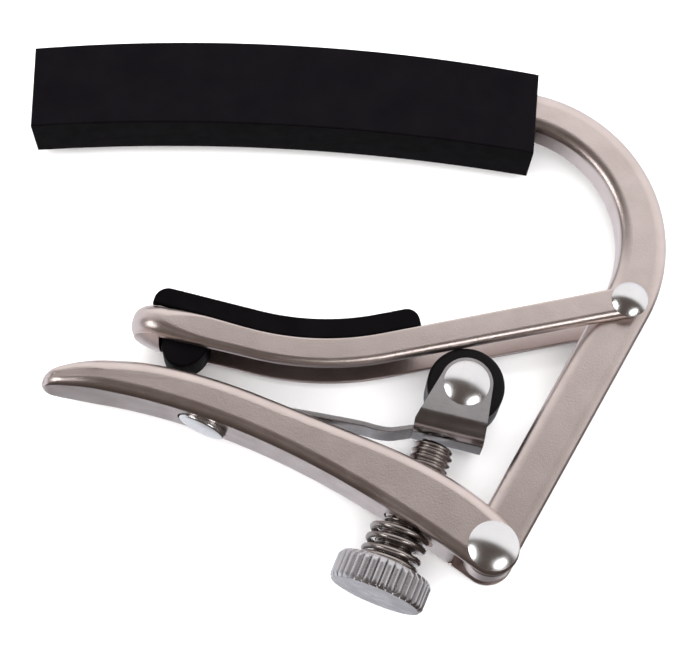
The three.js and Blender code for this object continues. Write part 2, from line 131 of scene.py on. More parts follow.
def shallow_arc(start, end, radius, count=40):
    half = math.asin(math.dist(start, end) / 2 / radius)
    points = []
    for i in range(count + 1):
        a = half * (2 * i / count - 1)
        share = (math.sin(a) / math.sin(half) + 1) / 2
        lift = radius * (math.cos(a) - math.cos(half))
        points.append((start[0] + (end[0] - start[0]) * share,
                       start[1] + (end[1] - start[1]) * share + lift))
    return points


def lerp(a, b, t):
    return a + (b - a) * min(1.0, max(0.0, t))


# ------------------------------------------------------------------ meshes


def mesh_from(name, verts, faces):
    mesh = bpy.data.meshes.new(name)
    mesh.from_pydata([PIVOT + Vector(v) * MM for v in verts], [], faces)
    work = bmesh.new()
    work.from_mesh(mesh)
    bmesh.ops.remove_doubles(work, verts=work.verts, dist=1e-7)
    bmesh.ops.recalc_face_normals(work, faces=work.faces)
    work.to_mesh(mesh)
    work.free()
    piece = bpy.data.objects.new(name, mesh)
    bpy.context.scene.collection.objects.link(piece)
    return piece


def ring_faces(rings, count):
    """The four-sided faces between rings of the same number of points."""
    faces = []
    for i in range(rings - 1):
        for j in range(count):
            a, b = i * count + j, i * count + (j + 1) % count
            faces.append((a, b, b + count, a + count))
    return faces


def capped_rings(rings, count):
    """The faces between rings, with a face over the first ring and one over the last."""
    last = (rings - 1) * count
    return ring_faces(rings, count) + [tuple(range(count)), tuple(last + j for j in range(count))]


def rounded_plate(outline, half, radius, steps=5, spread=1.0):
    """A flat piece with rounded long edges; half depth and radius may vary with the point.

    A spread over 1 draws the rounding further in over the face, which crowns it.
    """
    count = len(outline)
    depth = half if callable(half) else lambda p: half
    rounding = radius if callable(radius) else lambda p: radius
    normals = []
    for i, (x, y) in enumerate(outline):
        bx, by = outline[i - 1]
        ax, ay = outline[(i + 1) % count]
        before = Vector((x - bx, y - by)).normalized()
        after = Vector((ax - x, ay - y)).normalized()
        along = (before + after).normalized()
        normals.append(Vector((along.y, -along.x)) / max(0.5, along.dot(after)))
    verts = []
    rings = [(k, -1) for k in range(steps + 1)] + [(k, 1) for k in range(steps, -1, -1)]
    for k, side in rings:
        a = math.pi / 2 * k / steps
        for (x, y), normal in zip(outline, normals):
            r = rounding((x, y))
            inset = r * spread * (1 - math.sin(a))
            z = side * (depth((x, y)) - r * (1 - math.cos(a)))
            verts.append((x - normal.x * inset, y - normal.y * inset, z))
    faces = ring_faces(len(rings), count)
    faces.append(tuple(range(count - 1, -1, -1)))
    last = (len(rings) - 1) * count
    faces.append(tuple(last + i for i in range(count)))
    return verts, faces


def sweep(frames, sections):
    """Carries closed sections of equal point count along frames of (origin, out, up, scale)."""
    count = len(sections[0])
    verts = []
    for (origin, out, up, scale), section in zip(frames, sections):
        for a, b in section:
            verts.append(tuple(origin + out * a + up * (b * scale)))
    return verts, capped_rings(len(frames), count)


def turned(profile, centre, axis, segments=64):
    """Revolves (radius, height) pairs about an axis through a point; ends on the axis close up."""
    axis = Vector(axis).normalized()
    side = axis.orthogonal().normalized()
    other = axis.cross(side)
    verts = []
    for radius, height in profile:
        for j in range(segments):
            a = 2 * math.pi * j / segments
            point = Vector(centre) + axis * height
            point += (side * math.cos(a) + other * math.sin(a)) * radius
            verts.append(tuple(point))
    return verts, ring_faces(len(profile), segments)


def closed(built, segments):
    """Caps the two ends of a turned shape whose first and last rings don't lie on the axis."""
    verts, faces = built
    faces.append(tuple(range(segments)))
    faces.append(tuple(len(verts) - segments + j for j in range(segments)))
    return verts, faces


def cut(piece, built, operation="DIFFERENCE"):
    """Joins or cuts a piece with another closed shape."""
    tool = mesh_from("tool", *built)
    modifier = piece.modifiers.new("cut", "BOOLEAN")
    modifier.operation = operation
    modifier.solver = "EXACT"
    modifier.object = tool
    graph = bpy.context.evaluated_depsgraph_get()
    result = bpy.data.meshes.new_from_object(piece.evaluated_get(graph))
    piece.modifiers.clear()
    piece.data = result
    bpy.data.objects.remove(tool)
    return piece


def bevel(piece, width, angle=35, segments=2):
    """Breaks the sharp edges left by forming or cutting, width in millimetres."""
    modifier = piece.modifiers.new("edge", "BEVEL")
    modifier.width = width * MM
    modifier.segments = segments
    modifier.limit_method = "ANGLE"
    modifier.angle_limit = math.radians(angle)
    modifier.use_clamp_overlap = True


def finish_piece(piece, body, material, replaces, smooth=35, weighted=True):
    piece.data.materials.clear()
    piece.data.materials.append(material)
    piece.data.shade_smooth()
    piece.data.set_sharp_from_angle(angle=math.radians(smooth))
    if weighted:
        modifier = piece.modifiers.new("normals", "WEIGHTED_NORMAL")
        modifier.keep_sharp = True
        modifier.weight = 80
    if isinstance(body, str):
        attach(piece, body)
    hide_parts(*replaces)
    return piece


# ------------------------------------------------------------------ materials


def new_material(name):
    material = bpy.data.materials.new(name)
    material.use_nodes = True
    tree = material.node_tree
    shader = tree.nodes["Principled BSDF"]
    return material, tree, shader


def noise(tree, scale, detail=3.0, roughness=0.6, stretch=(1, 1, 1)):
    coords = tree.nodes.new("ShaderNodeTexCoord")
    mapping = tree.nodes.new("ShaderNodeMapping")
    mapping.inputs["Scale"].default_value = stretch
    texture = tree.nodes.new("ShaderNodeTexNoise")
    texture.inputs["Scale"].default_value = scale
    texture.inputs["Detail"].default_value = detail
    texture.inputs["Roughness"].default_value = roughness
    tree.links.new(coords.outputs["Object"], mapping.inputs["Vector"])
    tree.links.new(mapping.outputs["Vector"], texture.inputs["Vector"])
    return texture.outputs["Fac"]


def ramp(tree, source, low, high, start=0.3, end=0.7):
    node = tree.nodes.new("ShaderNodeMapRange")
    node.inputs["From Min"].default_value = start
    node.inputs["From Max"].default_value = end
    node.inputs["To Min"].default_value = low
    node.inputs["To Max"].default_value = high
    tree.links.new(source, node.inputs["Value"])
    return node.outputs["Result"]


def mix_colour(tree, source, first, second):
    node = tree.nodes.new("ShaderNodeMix")
    node.data_type = "RGBA"
    node.inputs["A"].default_value = (*first, 1)
    node.inputs["B"].default_value = (*second, 1)
    tree.links.new(source, node.inputs["Factor"])
    return node.outputs["Result"]


def bump(tree, shader, source, strength, distance_mm, below=None):
    node = tree.nodes.new("ShaderNodeBump")
    node.inputs["Strength"].default_value = strength
    node.inputs["Distance"].default_value = distance_mm * MM
    tree.links.new(source, node.inputs["Height"])
    if below is not None:
        tree.links.new(below, node.inputs["Normal"])
    tree.links.new(node.outputs["Normal"], shader.inputs["Normal"])
    return node.outputs["Normal"]


def metal(name, dark, light, rough, grain=0.0, grain_mm=0.35, streak=0.0, streak_dir=(1, 1, 1)):
    material, tree, shader = new_material(name)
    shader.inputs["Metallic"].default_value = 1.0
    patches = noise(tree, 260, 4)
    tree.links.new(mix_colour(tree, ramp(tree, patches, 0, 1), dark, light), shader.inputs["Base Color"])
    smudge = noise(tree, 420, 5, 0.65)
    tree.links.new(ramp(tree, smudge, rough[0], rough[1]), shader.inputs["Roughness"])
    normal = None
    if streak:
        lines = noise(tree, 900, 2, 0.5, streak_dir)
        normal = bump(tree, shader, lines, streak, 0.02)
    if grain:
        pits = noise(tree, 1 / (grain_mm * MM), 2, 0.5)
        bump(tree, shader, pits, grain, 0.03, normal)
    return material


def dull(name, dark, light, rough, grain=0.2, grain_mm=0.25, specular=0.4):
    material, tree, shader = new_material(name)
    shader.inputs["Specular IOR Level"].default_value = specular
    patches = noise(tree, 220, 4)
    tree.links.new(mix_colour(tree, ramp(tree, patches, 0, 1), dark, light), shader.inputs["Base Color"])
    smudge = noise(tree, 500, 4)
    tree.links.new(ramp(tree, smudge, rough[0], rough[1]), shader.inputs["Roughness"])
    pits = noise(tree, 1 / (grain_mm * MM), 3)
    bump(tree, shader, pits, grain, 0.02)
    return material


NICKEL = metal("satin_nickel", (0.67, 0.58, 0.55), (0.75, 0.655, 0.625), (0.29, 0.37),
               grain=0.5, grain_mm=0.18, streak=0.04, streak_dir=(0.15, 2, 2))
POLISHED = metal("polished_nickel", (0.75, 0.75, 0.76), (0.84, 0.84, 0.85), (0.2, 0.28))
STEEL = metal("spring_steel", (0.40, 0.385, 0.39), (0.49, 0.475, 0.48), (0.17, 0.26),
              grain=0.15, grain_mm=0.2, streak=0.05, streak_dir=(2, 0.2, 2))
THREAD = metal("bright_steel", (0.28, 0.25, 0.235), (0.48, 0.44, 0.42), (0.2, 0.3), grain=0.05)
KNOB = metal("knurled_nickel", (0.56, 0.55, 0.57), (0.66, 0.65, 0.67), (0.24, 0.34),
             grain=0.05, grain_mm=0.2)
SLEEVE = dull("sleeve_rubber", (0.0016, 0.0012, 0.0020), (0.0028, 0.0022, 0.0032), (0.5, 0.62),
              grain=0.12, specular=0.07)
CUSHION = dull("cushion_rubber", (0.0014, 0.0011, 0.0014), (0.0026, 0.0022, 0.0026), (0.5, 0.65),
               grain=0.15, specular=0.03)
NYLON = dull("roller_nylon", (0.0014, 0.0011, 0.0012), (0.0026, 0.0022, 0.0024), (0.4, 0.55),
             grain=0.12, specular=0.15)

# ------------------------------------------------------------------ bar and sleeve

BAR_HALF_DEPTH = 2.6
BAR_HEADING = 62.8
BAR_STRAIGHT = 33.6
BAR_FOOT_RADIUS = 2.95
BEND_RADIUS, BEND_TURN = 16.5, 109.9
CROWN_RADIUS, CROWN_TURN = 237, 13.2
BAR_PATH = walk((0, 0), BAR_HEADING, [(BAR_STRAIGHT, 0, 0), (0, BEND_RADIUS, BEND_TURN),
                                      (0, CROWN_RADIUS, CROWN_TURN)], 1.2)


def bar_half_width(length):
    bend_end = BAR_STRAIGHT + BEND_RADIUS * math.radians(BEND_TURN)
    if length < BAR_STRAIGHT:
        return lerp(2.8, 2.9, length / BAR_STRAIGHT)
    return lerp(2.9, 2.3, (length - BAR_STRAIGHT) / (bend_end - BAR_STRAIGHT))


def bar_outline(extra=0.0):
    sides = band(BAR_PATH, lambda s: bar_half_width(s) + extra, lambda s: bar_half_width(s) + extra)
    return sides + arc((0, 0), BAR_FOOT_RADIUS + extra, BAR_HEADING + 109, BAR_HEADING + 251, 26)


bar = mesh_from("bar_forged", *rounded_plate(bar_outline(), BAR_HALF_DEPTH, 1.1, 8, 1.35))
finish_piece(bar, "frame_bar", NICKEL, ["main_bar"])

SLEEVE_HALF_DEPTH = 3.7
SLEEVE_FIT = 0.05
string_side = shallow_arc((-55.5, 47.45), (3.9, 47.45), 240)
outer_side = shallow_arc((-55.9, 57.55), (4.4, 57.65), 210)
sleeve = mesh_from("sleeve_moulded",
                   *rounded_plate(string_side + outer_side[::-1], SLEEVE_HALF_DEPTH, 0.22, 3))
cut(sleeve, rounded_plate(bar_outline(SLEEVE_FIT), BAR_HALF_DEPTH + SLEEVE_FIT, 1.15, 4))
finish_piece(sleeve, "frame_bar", SLEEVE, ["string_sleeve"])

# ------------------------------------------------------------------ arm and cushion

ARM_HALF = 4.3
RAIL = 1.4
ARM_HEADING = 194.3
ARM_STRAIGHT = 28.7
ARM_BEND_RADIUS, ARM_BEND_TURN = 34, -26.3
ARM_TAIL, PAD_TAIL = 9.9, 12.2


def arm_path(tail, step):
    return walk(ARM_PIVOT, ARM_HEADING, [(ARM_STRAIGHT, 0, 0), (0, ARM_BEND_RADIUS, ARM_BEND_TURN),
                                         (tail, 0, 0)], step)


ARM_PATH = arm_path(ARM_TAIL, 1.5)
ARM_LENGTH = ARM_PATH[-1][3]
PIVOT_HEIGHT, NOSE_HEIGHT = 3.4, 3.0
NOSE_SWELL, SWELL_LENGTH = 0.55, 10.0
RAIL_END_REACH, RAIL_END_RADIUS = 1.70, 1.72


def slim_height(length):
    return lerp(PIVOT_HEIGHT, NOSE_HEIGHT, length / ARM_LENGTH)


def rail_height(length):
    """The rails slim down along the arm and swell again at the nose."""
    swell = min(1.0, max(0.0, (length - ARM_LENGTH + SWELL_LENGTH) / SWELL_LENGTH))
    return slim_height(length) + NOSE_SWELL * swell * swell * (3 - 2 * swell)


def arm_frame(sample, angle, scale=None):
    x, y, heading, length = sample
    a = math.radians(heading)
    out = Vector((math.cos(a) * math.cos(angle), math.sin(a) * math.cos(angle), math.sin(angle)))
    origin = Vector((x, y, 0)) + out * (ARM_HALF - RAIL / 2)
    up = Vector((math.sin(a), -math.cos(a), 0))
    return origin, out, up, scale if scale is not None else rail_height(length)


def rail_end(angle):
    """Frames that round the rail off behind its pivot."""
    x, y, heading, _ = ARM_PATH[0]
    a = math.radians(heading)
    frames = []
    for i in range(10, 0, -1):
        t = RAIL_END_REACH * math.sin(math.pi / 2 * i / 10)
        sample = (x - t * math.cos(a), y - t * math.sin(a), heading, 0)
        height = PIVOT_HEIGHT * math.sqrt(max(0.0, 1 - (t / RAIL_END_RADIUS) ** 2))
        frames.append(arm_frame(sample, angle, height))
    return frames


def rail_section(round_share):
    """Flat rail with a well rounded lower outer edge; the nose is rounded above as well."""
    h = RAIL / 2
    low_x, low_y = lerp(0.85, 1.35, round_share), lerp(0.27, 0.47, round_share)
    high_x, high_y = lerp(0.16, 1.2, round_share), lerp(0.07, 0.36, round_share)
    points = [(-h, 0.47), (-h, -0.44), (-h + 0.02, -0.49), (-h + 0.04, -0.5)]
    for turn in range(0, 91, 10):
        a = math.radians(turn)
        points.append((h - low_x + low_x * math.sin(a), -0.5 + low_y * (1 - math.cos(a))))
    for turn in range(90, -1, -15):
        a = math.radians(turn)
        points.append((h - high_x + high_x * math.sin(a), 0.5 - high_y * (1 - math.cos(a))))
    return points + [(-h + 0.04, 0.5)]


near = [arm_frame(s, math.pi / 2) for s in ARM_PATH]
far = [arm_frame(s, -math.pi / 2) for s in reversed(ARM_PATH)]
nose = [arm_frame(ARM_PATH[-1], math.pi / 2 - math.pi * i / 32) for i in range(1, 32)]
side_sections = [rail_section(max(0.0, 1 - (ARM_LENGTH - s[3]) / 5.0) ** 1.5) for s in ARM_PATH]
end_frames = rail_end(math.pi / 2)
sections = [rail_section(0)] * len(end_frames) + side_sections + [rail_section(1)] * len(nose)
sections += side_sections[::-1] + [rail_section(0)] * len(end_frames)
frames = end_frames + near + nose + far + rail_end(-math.pi / 2)[::-1]
arm = mesh_from("arm_bent", *sweep(frames, sections))

# The nose is solid up to the cushion's plug, and bulges below.
nose_x, nose_y, nose_heading, _ = ARM_PATH[-1]
nose_ahead = Vector((math.cos(math.radians(nose_heading)), math.sin(math.radians(nose_heading)), 0))
nose_up = Vector((nose_ahead.y, -nose_ahead.x, 0))
CORE_RADIUS, CORE_REACH, CORE_BACK, CORE_LEVEL, CORE_BULGE = 3.6, 3.4, 0.4, 1.72, 0.6
columns, rows = 25, 8
verts = []
for side in (-1, 1):
    for i in range(columns):
        z = lerp(-CORE_REACH, CORE_REACH, i / (columns - 1))
        for j in range(rows):
            along = lerp(CORE_BACK, math.sqrt(CORE_RADIUS ** 2 - z ** 2), j / (rows - 1))
            bulge = CORE_BULGE * (1 - (along ** 2 + z ** 2) / CORE_RADIUS ** 2) if side < 0 else 0.0
            point = Vector((nose_x, nose_y, 0)) + nose_ahead * along + nose_up * side * (CORE_LEVEL + bulge)
            verts.append((point.x, point.y, z))
count = columns * rows
faces = []
for i in range(columns - 1):
    for j in range(rows - 1):
        a = i * rows + j
        faces.append((a, a + 1, a + rows + 1, a + rows))
        faces.append((a + count, a + rows + count, a + rows + 1 + count, a + 1 + count))
rim = [i * rows for i in range(columns)] + [(columns - 1) * rows + j for j in range(1, rows)]
rim += [i * rows + rows - 1 for i in range(columns - 2, -1, -1)] + [j for j in range(rows - 2, 0, -1)]
faces += [(a, b, b + count, a + count) for a, b in zip(rim, rim[1:] + rim[:1])]
cut(arm, (verts, faces), "UNION")
finish_piece(arm, "arm", NICKEL, ["neck_arm"], smooth=50)

PAD_START, PAD_END, PAD_HEIGHT = 24.1, 56.4, 2.5
PAD_GAP = 0.12
PAD_START_CORNER, PAD_END_CORNER = 1.5, 1.7
pad_path = arm_path(PAD_TAIL, 1.2)


def on_pad(length, height):
    """A point above the rails: distance along the arm and height over its middle line."""
    k = next(k for k in range(len(pad_path) - 1) if pad_path[k + 1][3] >= length - 1e-9)
    a, b = pad_path[k], pad_path[k + 1]
    t = (length - a[3]) / (b[3] - a[3])
    return beside([a[n] + (b[n] - a[n]) * t for n in range(4)], -height)


def pad_floor(length):
    return rail_height(min(length, ARM_LENGTH)) / 2 + PAD_GAP


def pad_top(length):
    return slim_height(length) / 2 + PAD_GAP + PAD_HEIGHT


def pad_corner(length, inward, radius):
    """A rounded upper corner; inward is +1 at the start of the pad and -1 at its end."""
    points = []
    for i in range(9):
        a = math.pi / 2 * i / 8
        along = length + inward * radius * (1 - math.cos(a))
        points.append(on_pad(along, pad_top(along) - radius * (1 - math.sin(a))))
    return points


pad_outline = [on_pad(PAD_START, pad_floor(PAD_START))] + pad_corner(PAD_START, 1, PAD_START_CORNER)
for i in range(1, 40):
    run = lerp(PAD_START + PAD_START_CORNER, PAD_END - PAD_END_CORNER, i / 40)
    pad_outline.append(on_pad(run, pad_top(run)))
pad_outline += pad_corner(PAD_END, -1, PAD_END_CORNER)[::-1]
pad_outline.append(on_pad(PAD_END, pad_floor(PAD_END)))
for i in range(1, 40):
    run = lerp(PAD_END, PAD_START, i / 40)
    pad_outline.append(on_pad(run, pad_floor(run)))
cushion = mesh_from("cushion_moulded", *rounded_plate(pad_outline, 3.6, 0.4, 4))
plug_outline = [(-38.25, 21.5)]
plug_outline += bezier((-38.25, 21.5), (-37.9, 20.1), (-37.2, 19.35), (-35.9, 19.3), 10)
plug_outline += bezier((-35.9, 19.3), (-34.6, 19.3), (-33.1, 20.5), (-32.8, 22.2), 10)
plug_outline += [(-32.9, 26.2), (-38.15, 27.3)]
cut(cushion, rounded_plate(plug_outline, 2.5, 0.4, 3), "UNION")
finish_piece(cushion, "arm", CUSHION, ["arm_cushion"])

# ------------------------------------------------------------------ lever

EYE, EYE_FROM, EYE_TO = 3.05, -123, 40
LEVER_HALF_DEPTH = 4.3
LEVER_TIP = -51.75
TIP_TAPER, TIP_SHARE = 7.0, 0.70
EYE_START = (EYE * math.cos(math.radians(EYE_FROM)), EYE * math.sin(math.radians(EYE_FROM)))
EYE_END = (EYE * math.cos(math.radians(EYE_TO)), EYE * math.sin(math.radians(EYE_TO)))
lever_outline = arc((0, 0), EYE, EYE_FROM, EYE_TO, 36)
lever_outline += bezier(EYE_END, (-1.0, 5.94), (-6.42, 8.86), (-13.0, 11.25), 24)
lever_outline += [(-13.0 - 14.0 * i / 12, 11.25 + 4.95 * i / 12) for i in range(1, 13)]
lever_outline += bezier((-27.0, 16.2), (-31.73, 17.83), (-37.5, 19.3), (-42.6, 19.3), 24)
lever_outline += bezier((-42.6, 19.3), (-46.4, 19.35), (-51.6, 18.6), (-51.75, 16.95), 24)
lever_outline += bezier((-51.75, 16.95), (-51.78, 16.5), (-51.45, 16.33), (-50.6, 16.33), 8)
lever_outline += bezier((-50.6, 16.33), (-30.6, 15.35), (-14.3, 5.9), EYE_START, 60)[:-1]


def lever_half(point):
    """Half depth: full along the body, tapered towards the thumb end, round at its tip."""
    taper = min(1.0, max(0.0, (point[0] - LEVER_TIP) / TIP_TAPER))
    width = LEVER_HALF_DEPTH * (TIP_SHARE + 0.30 * taper * taper * (3 - 2 * taper))
    t = (-49.6 - point[0]) / 2.2
    return width if t <= 0 else width * math.sqrt(max(0.05, 1 - min(1.0, t) ** 2))


def lever_edge(point):
    """Radius of the long edges, smaller at the thumb end."""
    t = (-44.0 - point[0]) / 7.0
    return lerp(1.05, 0.55, t)


lever = mesh_from("lever_cast", *rounded_plate(lever_outline, lever_half, lever_edge, 8, 1.3))
channel = [(-35.25, 15.75), (-30.0, 13.45), (-25.0, 12.15), (-19.5, 9.75), (-16.4, 8.3),
           (-13.6, 9.6), (-13.2, 13.0), (-33.6, 20.6)]
fork = [(-5.9, -6), (6, -6), (6, 9.5), (-3.1, 9.5), (-3.9, 2.5), (-4.1, -0.75), (-5.9, -0.45)]
CHANNEL_HALF_DEPTH = 2.9
SPRING_SEAT = 8.35
RIVET_TILT = math.radians(22)
RIVET_UP = Vector((math.sin(RIVET_TILT), math.cos(RIVET_TILT), 0))
RIVET_FOOT = Vector((-33.1, 13.15, 0))
FOOT = Vector((*SCREW_FOOT, 0))


def drum(radius, low_end, high_end, centre, axis, segments=64):
    profile = [(radius, low_end), (radius, high_end)]
    return closed(turned(profile, centre, axis, segments), segments)


cut(lever, rounded_plate(channel, CHANNEL_HALF_DEPTH, 0.3, 3))
cut(lever, rounded_plate(fork, CHANNEL_HALF_DEPTH, 0.3, 3))
cut(lever, drum(2.5, -2, 22, FOOT, SCREW_DIR))
cut(lever, drum(3.9, 2, SPRING_SEAT, FOOT, SCREW_DIR))
cut(lever, drum(3.05, -3, 0.35, RIVET_FOOT, RIVET_UP))
finish_piece(lever, "lever", NICKEL, ["lever"], smooth=30)

# ------------------------------------------------------------------ rivets


def rivet(name, centre, shank, head, dome, grip, body, node):
    """A shank with a low domed head at each end, square to the mechanism's plane."""
    half = grip / 2
    ball = (head * head + dome * dome) / (2 * dome)
    reach = math.asin(head / ball)
    cap = [(ball * math.sin(reach * i / 14), half + dome - ball * (1 - math.cos(reach * i / 14)))
           for i in range(15)]
    lower = [(max(r, 1e-4), -h) for r, h in cap]
    upper = [(max(r, 1e-4), h) for r, h in reversed(cap)]
    profile = lower + [(shank, -half), (shank, half)] + upper
    piece = mesh_from(name, *closed(turned(profile, (*centre, 0), (0, 0, 1), 96), 96))
    return finish_piece(piece, body, POLISHED, [node], smooth=40, weighted=False)


rivet("lever_rivet", (0, 0), 1.6, 2.82, 0.95, 8.7, "frame_bar", "lever_pivot_rivet")
rivet("arm_rivet", ARM_PIVOT, 1.3, 2.1, 0.8, 8.7, "frame_bar", "arm_pivot_rivet")
rivet("roller_rivet", ROLLER, 1.2, 2.62, 0.85, 8.0, "strap", "roller_axle")

profile = [(1e-4, -0.4)] + arc((2.6, -0.15), 0.25, -90, 0, 5)
profile += [(2.85, 0.25), (1.2, 0.25), (1.2, 2.5)]
profile += [(1.9, 2.5), (1.85, 2.8), (1.4, 3.12), (1e-4, 3.24)]
strap_rivet = mesh_from("strap_rivet_disc", *closed(turned(profile, RIVET_FOOT, RIVET_UP, 72), 72))
finish_piece(strap_rivet, "lever", POLISHED, ["strap_rivet"], smooth=40)

# ------------------------------------------------------------------ strap, stirrup and roller

STRAP_LINE = [(-34.55, 15.85), (-32.3, 14.94), (-29.9, 13.97), (-28.6, 13.85), (-27.0, 14.5),
              (-25.2, 15.05), (-22.0, 14.75), (-15.5, 13.85), (-13.2, 13.35), (-11.6, 13.22),
              (-10.2, 13.45), (-8.6, 13.62), (-5.0, 12.95)]
SHEET = 0.6
STRAP_HALF_WIDTH = 2.15
STIRRUP_HALF_WIDTH, STIRRUP_BEND, STIRRUP_TILT = 3.95, 2.4, -11
CHANNEL_SIZE = 14.0   # longer and higher than the stirrup, which is trimmed out of it


def smooth_line(points, per_span=6):
    """A smooth curve through the points."""
    line = []
    for i in range(len(points) - 1):
        p0 = Vector(points[max(0, i - 1)])
        p1, p2 = Vector(points[i]), Vector(points[i + 1])
        p3 = Vector(points[min(len(points) - 1, i + 2)])
        for k in range(per_span):
            t = k / per_span
            point = 0.5 * (2 * p1 + (p2 - p0) * t + (2 * p0 - 5 * p1 + 4 * p2 - p3) * t * t
                           + (3 * p1 - p0 - 3 * p2 + p3) * t ** 3)
            line.append(tuple(point))
    return line + [points[-1]]


def strip(line, thickness):
    """Outline of a leaf of even thickness along a line."""
    lower, upper = [], []
    for i, (x, y) in enumerate(line):
        ax, ay = line[max(0, i - 1)]
        bx, by = line[min(len(line) - 1, i + 1)]
        along = Vector((bx - ax, by - ay)).normalized()
        side = Vector((-along.y, along.x)) * thickness / 2
        lower.append((x - side.x, y - side.y))
        upper.append((x + side.x, y + side.y))
    return lower + upper[::-1]


def stirrup_channel():
    """A folded U of sheet, its web tilted with the strap."""
    w, t, r = STIRRUP_HALF_WIDTH, SHEET, STIRRUP_BEND
    outline = arc((-w + r, r), r, 180, 270, 16) + arc((w - r, r), r, 270, 360, 16)
    outline += [(w, CHANNEL_SIZE), (w - t, CHANNEL_SIZE)]
    outline += arc((w - r, r), r - t, 360, 270, 16) + arc((-w + r, r), r - t, 270, 180, 16)
    outline += [(-w + t, CHANNEL_SIZE), (-w, CHANNEL_SIZE)]
    tilt = math.radians(STIRRUP_TILT)
    along = Vector((math.cos(tilt), math.sin(tilt), 0))
    up = Vector((-math.sin(tilt), math.cos(tilt), 0))
    verts, faces = [], []
    for s in (0.0, CHANNEL_SIZE):
        for z, height in outline:
            point = Vector((-12.2, 13.85, 0)) + along * s + up * height
            verts.append((point.x, point.y, z))
    count = len(outline)
    for i in range(count):
        j = (i + 1) % count
        faces.append((i, j, j + count, i + count))
    faces.append(tuple(range(count)))
    faces.append(tuple(range(2 * count - 1, count - 1, -1)))
    return verts, faces


ear = [(-9.35, 12.0), (-1.35, 10.4), (-0.95, 13.6)]
ear += arc(ROLLER, 3.0, -8, 158, 40) + [(-9.05, 14.4)]
stirrup = mesh_from("stirrup_stamped", *stirrup_channel())
cut(stirrup, rounded_plate(ear, 6, 0.01, 1), "INTERSECT")
leaf = strip(smooth_line(STRAP_LINE), SHEET)
cut(stirrup, rounded_plate(leaf, STRAP_HALF_WIDTH, 0.08, 2), "UNION")
bevel(stirrup, 0.09, 40, 2)
finish_piece(stirrup, "strap", STEEL, ["roller_strap"], smooth=30)

radius, half, bore, edge = 4.45, 3.25, 1.28, 0.55
profile = [(bore, -half)] + arc((radius - edge, -half + edge), edge, -90, 0, 6)
profile += arc((radius - edge, half - edge), edge, 0, 90, 6) + [(bore, half), (bore, -half)]
roller = mesh_from("roller_turned", *turned(profile, (*ROLLER, 0), (0, 0, 1), 96))
finish_piece(roller, "roller", NYLON, ["roller"])

# ------------------------------------------------------------------ screw, knob and spring


SCREW_START, SCREW_TIP, SCREW_RADIUS = 1.0, 18.65, 2.4
THREAD_PITCH, THREAD_DEPTH, TIP_CHAMFER = 0.8, 0.34, 0.6


def threaded_rod(start, end, radius, pitch, depth, segments, rows_per_turn):
    """A rod whose surface rises and falls along one right-handed helix."""
    rows = int((end - start) / pitch * rows_per_turn)
    verts = []
    for i in range(rows + 1):
        height = start + (end - start) * i / rows
        taper = min(1.0, (end - height) / TIP_CHAMFER)
        for j in range(segments):
            a = 2 * math.pi * j / segments
            phase = (height / pitch + j / segments) % 1.0
            groove = 1 - abs(2 * phase - 1)
            r = radius - depth * (0.5 - 0.5 * math.cos(math.pi * groove)) - 0.5 * (1 - taper)
            point = FOOT + SCREW_DIR * height + off_screw(a) * r
            verts.append(tuple(point))
    return verts, capped_rings(rows + 1, segments)


screw = mesh_from("screw_threaded", *threaded_rod(SCREW_START, SCREW_TIP, SCREW_RADIUS, THREAD_PITCH,
                                                  THREAD_DEPTH, 64, 14))
finish_piece(screw, "screw", THREAD, ["adjusting_screw"], smooth=50, weighted=False)

KNOB_RADIUS, KNOB_HEIGHT = 5.55, 3.4
FLUTES, FLUTE_DEPTH = 36, 0.42
OUTER_CHAMFER, INNER_CHAMFER, CHAMFER_SLOPE = 0.45, 0.5, 0.7


def knob_mesh():
    """Straight knurling with the crests cut away by a chamfer at each end."""
    per = 8
    segments = FLUTES * per
    ends = [0.0, 0.12, 0.25, 0.4, 0.55, 0.7, 0.8]
    heights = ends + [KNOB_HEIGHT / 2] + [KNOB_HEIGHT - end for end in reversed(ends)]
    verts = []
    for height in heights:
        cut_back = max(0.0, OUTER_CHAMFER - height, INNER_CHAMFER - (KNOB_HEIGHT - height))
        limit = KNOB_RADIUS - cut_back * CHAMFER_SLOPE
        for j in range(segments):
            a = 2 * math.pi * j / segments
            phase = j % per / per
            crest = math.sin(math.pi * phase) ** 0.5 if 0 < phase < 1 else 0.0
            r = min(limit, KNOB_RADIUS - FLUTE_DEPTH + FLUTE_DEPTH * crest)
            point = FOOT + SCREW_DIR * height + off_screw(a) * r
            verts.append(tuple(point))
    return verts, capped_rings(len(heights), segments)


knob = mesh_from("knob_knurled", *knob_mesh())
finish_piece(knob, "screw", KNOB, ["thumb_knob"], smooth=22)


SPRING_GAP, SPRING_CROWDING = 0.03, 0.06


def spring_mesh():
    """A coil from the knob to the lever's spot face, with its end turns closer together."""
    wire, radius, turns = 0.36, 3.15, 3.9
    start, end = KNOB_HEIGHT + wire + SPRING_GAP, SPRING_SEAT - wire - SPRING_GAP
    steps = int(turns * 36)
    section = arc((0, 0), wire, 0, 330, 11)
    frames = []
    for i in range(steps + 1):
        t = i / steps
        a = math.pi - 2 * math.pi * turns * t
        out = off_screw(a)
        ease = t - SPRING_CROWDING * math.sin(2 * math.pi * t)
        origin = FOOT + SCREW_DIR * (start + (end - start) * ease) + out * radius
        frames.append((origin, out, SCREW_DIR, 1.0))
    return sweep(frames, [section] * len(frames))


spring = mesh_from("spring_coiled", *spring_mesh())
finish_piece(spring, None, THREAD, ["knob_spring"], smooth=60, weighted=False)
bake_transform(spring)

# ------------------------------------------------------------------ floor, lights and camera

